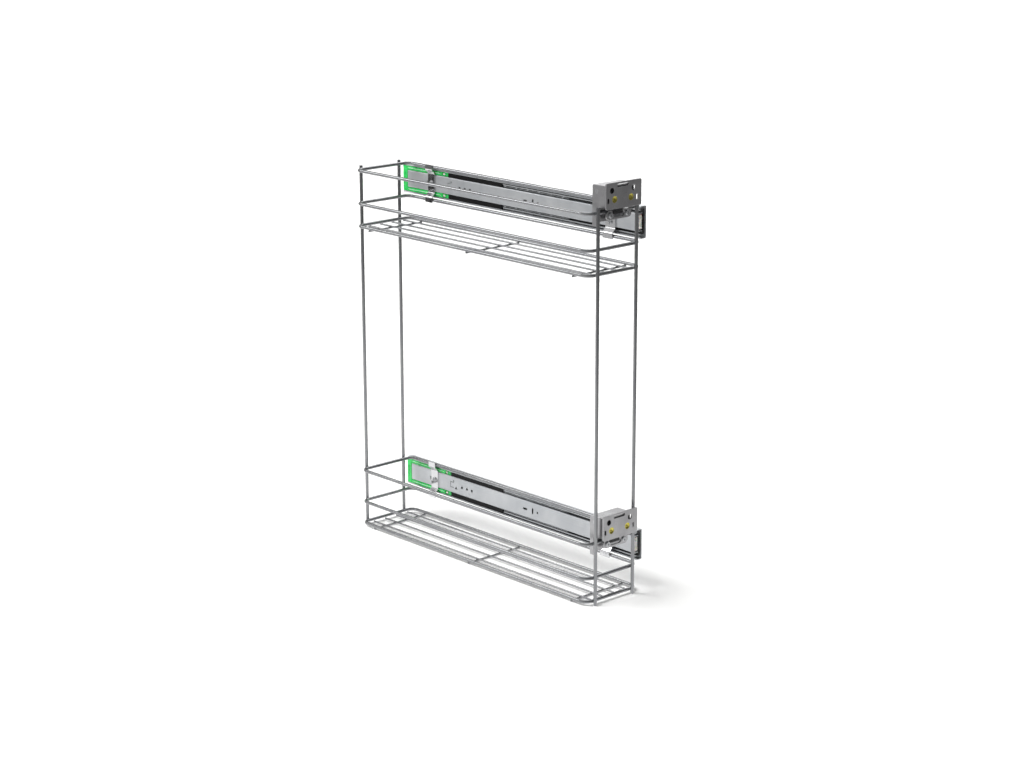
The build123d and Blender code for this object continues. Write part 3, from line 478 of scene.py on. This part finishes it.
def bead(mesh, start, end, back, z):
    # half-round strip whose two ends taper off
    radius, taper = mouldings["beadRadius"] * mm, mouldings["beadTaper"] * mm
    sides = mouldings["beadSides"]
    angles = [math.pi * j / sides for j in range(sides + 1)]
    rings = []
    for x in spread(start, end, mouldings["beadSteps"] + 1):
        swell = math.sqrt(max(0.0, min(x - start, end - x)) / taper)
        size = radius * min(1.0, swell + mouldings["beadTip"])
        rings.append([mesh.verts.new((x, back - size * math.sin(a), z + size * math.cos(a))) for a in angles])
    for one, other in zip(rings, rings[1:]):
        for j in range(sides):
            mesh.faces.new((one[j], one[j + 1], other[j + 1], other[j]))


def smallMouldings():
    beads, highlightPads, buffers = bmesh.new(), bmesh.new(), bmesh.new()
    for level in levels:
        z = middle(f"{level}_cabinet_member").z
        rear, front = (corner.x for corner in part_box(f"{level}_damper_housing"))
        rearInset, frontInset = mouldings["beadEnds"]
        behind, ahead = mouldings["highlightPadPlace"]
        for side in (1, -1):
            armZ = z + side * mouldings["armMiddle"] * mm
            bead(beads, rear + rearInset * mm, front - frontInset * mm, -mouldings["beadAhead"] * mm, armZ)
            # white pads, a painted highlight on the step at each arm's nose
            softBox(highlightPads, (front - behind * mm, -ahead * mm, armZ), mouldings["highlightPadSize"])
        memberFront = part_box(f"{level}_drawer_member")[1].x
        behind, ahead = mouldings["bufferPlace"]
        thickness, _, height = mouldings["bufferSize"]
        softBox(buffers, (memberFront - behind * mm, -ahead * mm, z), mouldings["bufferSize"])
        for side in (-1, 1):
            ribX = memberFront - (behind - thickness / 2) * mm
            ribZ = z + side * mouldings["ribShare"] * height * mm
            softBox(buffers, (ribX, -ahead * mm, ribZ), mouldings["ribSize"])
    # the beads' pale tone is a painted highlight
    beadHighlight = surfaceMaterial("paintedHighlightGreenNylon", paintedHighlightGreenNylon)
    addPiece("housingBeads", beads, beadHighlight, "cabinet_side")
    # the white pads are a painted highlight
    addPiece("housingHighlightPads", highlightPads, slotFinishes["white_plastic"], "cabinet_side")
    addPiece("frontBuffers", buffers, slotFinishes["white_plastic"], "basket_frame")


smallMouldings()
print("added the small mouldings")


# White paper in a pale room. Mirror-like metal sees neither, but a glow just under the paper that fades away from
# the basket, so the wires stay grey before a white ground.
studio = {
    "reach": 12.0,  # m, paper, glow and room
    "paperSides": 96,
    "paperTone": "#FAFAF9",
    "roomSides": 48,
    "roomTone": "#FFFFFF",
    "roomLight": 1.1,
    "glowDrop": 0.002,  # m under the paper
    "glowCentre": (-0.5, -0.5, 0.0),
    "glowSpan": (0.3, 2.6),  # m from the centre, where it is full and where it is faint
    "glowLight": (1.1, 0.24),
    "flagTone": "#050505",
    "flagPlace": (-2.34, -1.84),  # dark flag that blackens the upper rear strap
    "flagSize": (0.7, 0.6),
    "panelPlace": (-0.7, 1.4, 1.75),  # pale panel behind, for the rear of the rings
    "panelSize": (1.9, 1.9),
    "panelLight": 2.0,
    "skySide": (-0.59, -0.34, 0.73),  # towards the bright part of the sky
    "skySpan": (-0.5, 0.95),  # cosine to that side, where the sky is dim and where it is bright
    "skyLight": (0.16, 0.78),
    "sunLight": 3.6,
    "sunAngle": 50.0,  # degrees across
    "sunFrom": (-0.75, -0.6, 1.3),
    "boxLight": 6.0,
    "boxSize": (0.7, 0.6),
    "boxPlace": (-1.57, -1.2, 1.45),  # its long highlight lies on the upper rings, right of the rear strap
}


def stagePiece(name, mesh, material, seenBy):
    data = bpy.data.meshes.new(name)
    mesh.to_mesh(data)
    mesh.free()
    piece = bpy.data.objects.new(name, data)
    bpy.context.scene.collection.objects.link(piece)
    piece.data.materials.append(material)
    for ray in ("camera", "diffuse", "glossy", "transmission", "volume_scatter", "shadow"):
        setattr(piece, f"visible_{ray}", ray in seenBy)


def disc(height):
    mesh = bmesh.new()
    bmesh.ops.create_circle(mesh, cap_ends=True, segments=studio["paperSides"], radius=studio["reach"])
    bmesh.ops.translate(mesh, verts=mesh.verts, vec=(0, 0, height))
    return mesh


def card(size, turn):
    mesh = bmesh.new()
    bmesh.ops.create_grid(mesh, x_segments=1, y_segments=1, size=0.5)
    bmesh.ops.scale(mesh, verts=mesh.verts, vec=(*size, 1))
    mesh.transform(turn)
    return mesh


def turnFrom(place):
    # the rotation of a lamp or a card at this place whose local Z points away from the basket
    return Vector(place).to_track_quat("Z", "Y")


def layPaper(floorZ):
    material = bpy.data.materials.new("whitePaper")
    tree = emptyTree(material)
    matt = addNode(tree, "ShaderNodeBsdfDiffuse", {}, {"Color": linearColour(studio["paperTone"])})
    addNode(tree, "ShaderNodeOutputMaterial", {}, {"Surface": matt.outputs[0]})
    stagePiece("paper", disc(floorZ), material, ("camera", "diffuse", "transmission", "volume_scatter"))

    room = bmesh.new()
    sides = studio["roomSides"]
    bmesh.ops.create_uvsphere(room, u_segments=sides, v_segments=sides // 2, radius=studio["reach"])
    material = bpy.data.materials.new("paleRoom")
    tree = emptyTree(material)
    glow = addNode(tree, "ShaderNodeEmission", {}, {
        "Color": linearColour(studio["roomTone"]), "Strength": studio["roomLight"],
    })
    addNode(tree, "ShaderNodeOutputMaterial", {}, {"Surface": glow.outputs[0]})
    stagePiece("room", room, material, ("camera",))


def layGlow(floorZ):
    material = bpy.data.materials.new("fadingGlow")
    tree = emptyTree(material)
    place = addNode(tree, "ShaderNodeTexCoord").outputs["Object"]
    offset = addNode(tree, "ShaderNodeVectorMath", {"operation": "SUBTRACT"}, {
        0: place, 1: studio["glowCentre"],
    }).outputs[0]
    flat = addNode(tree, "ShaderNodeVectorMath", {"operation": "MULTIPLY"}, {0: offset, 1: (1, 1, 0)}).outputs[0]
    away = addNode(tree, "ShaderNodeVectorMath", {"operation": "LENGTH"}, {0: flat}).outputs["Value"]
    near, far = studio["glowSpan"]
    full, faint = studio["glowLight"]
    strength = addNode(tree, "ShaderNodeMapRange", {"interpolation_type": "SMOOTHSTEP"}, {
        "Value": away, "From Min": near, "From Max": far, "To Min": full, "To Max": faint,
    }).outputs[0]
    glow = addNode(tree, "ShaderNodeEmission", {}, {"Strength": strength})
    addNode(tree, "ShaderNodeOutputMaterial", {}, {"Surface": glow.outputs[0]})
    stagePiece("glow", disc(floorZ - studio["glowDrop"]), material, ("glossy",))


def placeCards(floorZ):
    flagZ = floorZ - studio["glowDrop"] / 2
    material = bpy.data.materials.new("blackFlag")
    tree = emptyTree(material)
    dark = addNode(tree, "ShaderNodeBsdfDiffuse", {}, {"Color": linearColour(studio["flagTone"])})
    addNode(tree, "ShaderNodeOutputMaterial", {}, {"Surface": dark.outputs[0]})
    flag = card(studio["flagSize"], Matrix.Translation((*studio["flagPlace"], flagZ)))
    stagePiece("flag", flag, material, ("glossy",))

    material = bpy.data.materials.new("palePanel")
    tree = emptyTree(material)
    glow = addNode(tree, "ShaderNodeEmission", {}, {"Strength": studio["panelLight"]})
    addNode(tree, "ShaderNodeOutputMaterial", {}, {"Surface": glow.outputs[0]})
    tilt = turnFrom(studio["panelPlace"]).to_matrix().to_4x4()
    panel = card(studio["panelSize"], Matrix.Translation(studio["panelPlace"]) @ tilt)
    stagePiece("panel", panel, material, ("glossy",))


def lightSky():
    # soft sky, bright on one side
    world = bpy.data.worlds.new("softRoomLight")
    bpy.context.scene.world = world
    tree = emptyTree(world)
    way = addNode(tree, "ShaderNodeTexCoord").outputs["Generated"]
    side = addNode(tree, "ShaderNodeVectorMath", {"operation": "DOT_PRODUCT"}, {
        0: way, 1: studio["skySide"],
    }).outputs["Value"]
    away, towards = studio["skySpan"]
    dim, bright = studio["skyLight"]
    strength = addNode(tree, "ShaderNodeMapRange", {"interpolation_type": "SMOOTHSTEP"}, {
        "Value": side, "From Min": away, "From Max": towards, "To Min": dim, "To Max": bright,
    }).outputs[0]
    glow = addNode(tree, "ShaderNodeBackground", {}, {"Strength": strength})
    addNode(tree, "ShaderNodeOutputWorld", {}, {"Surface": glow.outputs[0]})


def hangLamps():
    sun = bpy.data.lights.new("softSun", "SUN")
    sun.energy = studio["sunLight"]
    sun.angle = math.radians(studio["sunAngle"])
    lamp = bpy.data.objects.new("softSun", sun)
    lamp.rotation_euler = turnFrom(studio["sunFrom"]).to_euler()
    lamp.visible_glossy = False
    bpy.context.scene.collection.objects.link(lamp)

    box = bpy.data.lights.new("stripBox", "AREA")
    box.shape = "RECTANGLE"
    box.size, box.size_y = studio["boxSize"]
    box.energy = studio["boxLight"]
    lamp = bpy.data.objects.new("stripBox", box)
    lamp.location = studio["boxPlace"]
    lamp.rotation_euler = turnFrom(studio["boxPlace"]).to_euler()
    lamp.visible_camera = False
    bpy.context.scene.collection.objects.link(lamp)


floorHeight = cadBox[0][2]
layPaper(floorHeight)
layGlow(floorHeight)
placeCards(floorHeight)
lightSky()
hangLamps()
print("built the studio")


# Camera at the photograph's viewing angle.
photoView = {
    "place": (2.3837, -2.2188, 1.0555),  # m
    "heading": 42.698,  # degrees, from -X towards +Y
    "pitch": 14.954,  # degrees, downwards
    "roll": -0.117,
    "focalLength": 2284.0,  # pixels of the photograph
    "photoWidth": 1024,
    "sensorWidth": 36.0,  # mm
    "clipEnd": 48.0,  # m
}


def photoCamera():
    heading, pitch, roll = (math.radians(photoView[key]) for key in ("heading", "pitch", "roll"))
    ahead = Vector((-math.cos(heading) * math.cos(pitch), math.sin(heading) * math.cos(pitch), -math.sin(pitch)))
    right = Vector((math.sin(heading), math.cos(heading), 0))
    up = right.cross(ahead)
    tiltedRight = right * math.cos(roll) + up * math.sin(roll)
    tiltedUp = up * math.cos(roll) - right * math.sin(roll)
    turn = Matrix((tiltedRight, tiltedUp, -ahead)).transposed().to_4x4()
    data = bpy.data.cameras.new("photoView")
    data.sensor_width = photoView["sensorWidth"]
    data.lens = photoView["focalLength"] / photoView["photoWidth"] * photoView["sensorWidth"]
    data.clip_end = photoView["clipEnd"]
    camera = bpy.data.objects.new("photoView", data)
    camera.matrix_world = Matrix.Translation(photoView["place"]) @ turn
    bpy.context.scene.collection.objects.link(camera)
    bpy.context.scene.camera = camera


photoCamera()
bpy.context.scene.view_settings.view_transform = "Standard"
print("placed the camera")
